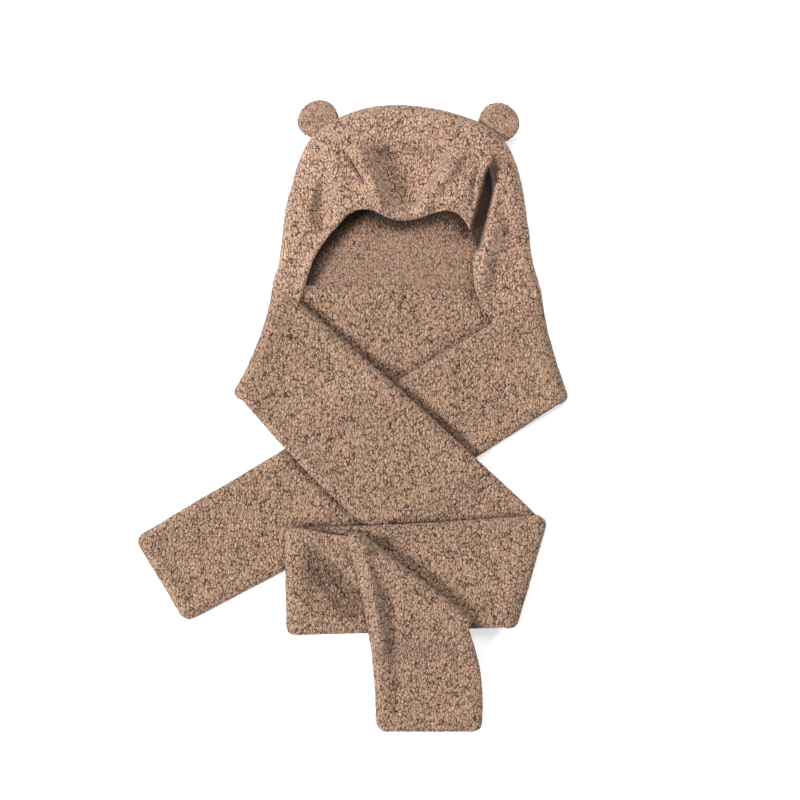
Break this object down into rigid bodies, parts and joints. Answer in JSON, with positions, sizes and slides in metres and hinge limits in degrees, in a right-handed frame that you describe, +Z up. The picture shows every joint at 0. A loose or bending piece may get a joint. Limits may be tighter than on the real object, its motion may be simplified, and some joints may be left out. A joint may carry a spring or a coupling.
{
  "type": "animal hood scarf",
  "caption": "Plush fleece hood with round animal ears, sewn to a long double-layer scarf whose tails are folded and crossed in front.",
  "frame": {"origin": "middle of the underside of the box round the whole article, on the surface it lies on", "axes": "+Y from the scarf's tail towards the hood's crown, +Z up out of the face opening, +X to the right as seen from above"},
  "size_m": [0.5404, 0.7912, 0.0517],
  "materials": {
    "sherpa_fleece": "curly matt pile",
    "ear_fleece": "curly matt pile"
  },
  "bodies": {
    "root": {"hood_front": "sherpa_fleece", "hood_back": "sherpa_fleece", "ear_left": "ear_fleece", "ear_right": "ear_fleece", "scarf": "sherpa_fleece"}
  },
  "joints": []
}
